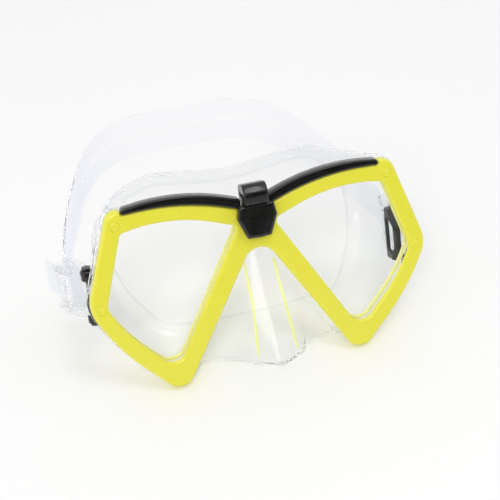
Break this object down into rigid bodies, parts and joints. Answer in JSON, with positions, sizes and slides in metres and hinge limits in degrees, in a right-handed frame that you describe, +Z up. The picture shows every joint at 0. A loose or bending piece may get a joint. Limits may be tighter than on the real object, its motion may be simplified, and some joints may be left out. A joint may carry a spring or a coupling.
{
  "type": "snorkel mask",
  "caption": "Two-lens snorkel mask: yellow frame, clear skirt with nose pocket, swivelling strap buckles on lugs and a clear split head strap.",
  "frame": {"origin": "centre of the bounding box in X and Y, on the floor that the skirt, frame tips and strap rest on", "axes": "+X to the right of someone facing the lenses, +Y from the lenses towards the back of the strap, +Z up. The lens plane leans back 23.3 degrees"},
  "size_m": [0.1986, 0.2037, 0.094],
  "materials": {
    "lemon_yellow": "glossy lemon-yellow moulding",
    "gloss_black": "glossy black moulding",
    "clear_pvc": "clear soft PVC",
    "clear_plastic": "clear hard plastic",
    "tempered_glass": "clear tempered glass"
  },
  "bodies": {
    "mask": {"front_frame": "lemon_yellow", "lens_left": "tempered_glass", "lens_right": "tempered_glass", "retainer_left": "lemon_yellow", "retainer_right": "lemon_yellow", "frame_pin_upper_left": "lemon_yellow", "frame_pin_upper_right": "lemon_yellow", "frame_pin_lower_left": "lemon_yellow", "frame_pin_lower_right": "lemon_yellow", "skirt": "clear_pvc", "face_seal": "clear_pvc", "brow_trim_left": "gloss_black", "brow_trim_right": "gloss_black", "bridge_shield": "gloss_black", "bridge_hook": "gloss_black", "lug_left": "gloss_black", "lug_right": "gloss_black", "pivot_pin_left": "gloss_black", "pivot_pin_right": "gloss_black", "head_strap": "clear_pvc"},
    "buckle_left": {"buckle_left": "clear_plastic", "strap_end_left": "clear_pvc"},
    "buckle_right": {"buckle_right": "clear_plastic", "strap_end_right": "clear_pvc"},
    "roller_left": {"roller_left": "clear_plastic"},
    "roller_right": {"roller_right": "clear_plastic"},
    "lock_left": {"lock_left": "clear_plastic"},
    "lock_right": {"lock_right": "clear_plastic"}
  },
  "joints": [
    {"name": "buckle_swivel_right", "type": "hinge", "parent": "mask", "child": "buckle_right", "pos_m": [0.082, -0.04172, 0.03137], "axis": [0, 0.3955, 0.9184], "range_deg": [-60, 8]},
    {"name": "buckle_swivel_left", "type": "hinge", "parent": "mask", "child": "buckle_left", "pos_m": [-0.082, -0.04172, 0.03137], "axis": [0, 0.3955, 0.9184], "range_deg": [-8, 60]},
    {"name": "roller_spin_right", "type": "hinge", "parent": "buckle_right", "child": "roller_right", "pos_m": [0.08651, -0.02666, 0.02489], "axis": [0, 0.3955, 0.9184], "continuous": true},
    {"name": "roller_spin_left", "type": "hinge", "parent": "buckle_left", "child": "roller_left", "pos_m": [-0.08651, -0.02666, 0.02489], "axis": [0, 0.3955, 0.9184], "continuous": true},
    {"name": "lock_lever_right", "type": "hinge", "parent": "buckle_right", "child": "lock_right", "pos_m": [0.09471, -0.02111, 0.0225], "axis": [0, 0.3955, 0.9184], "range_deg": [0, 20], "stiffness_Nm_per_rad": 0.03},
    {"name": "lock_lever_left", "type": "hinge", "parent": "buckle_left", "child": "lock_left", "pos_m": [-0.09471, -0.02111, 0.0225], "axis": [0, 0.3955, 0.9184], "range_deg": [-20, 0], "stiffness_Nm_per_rad": 0.03}
  ]
}
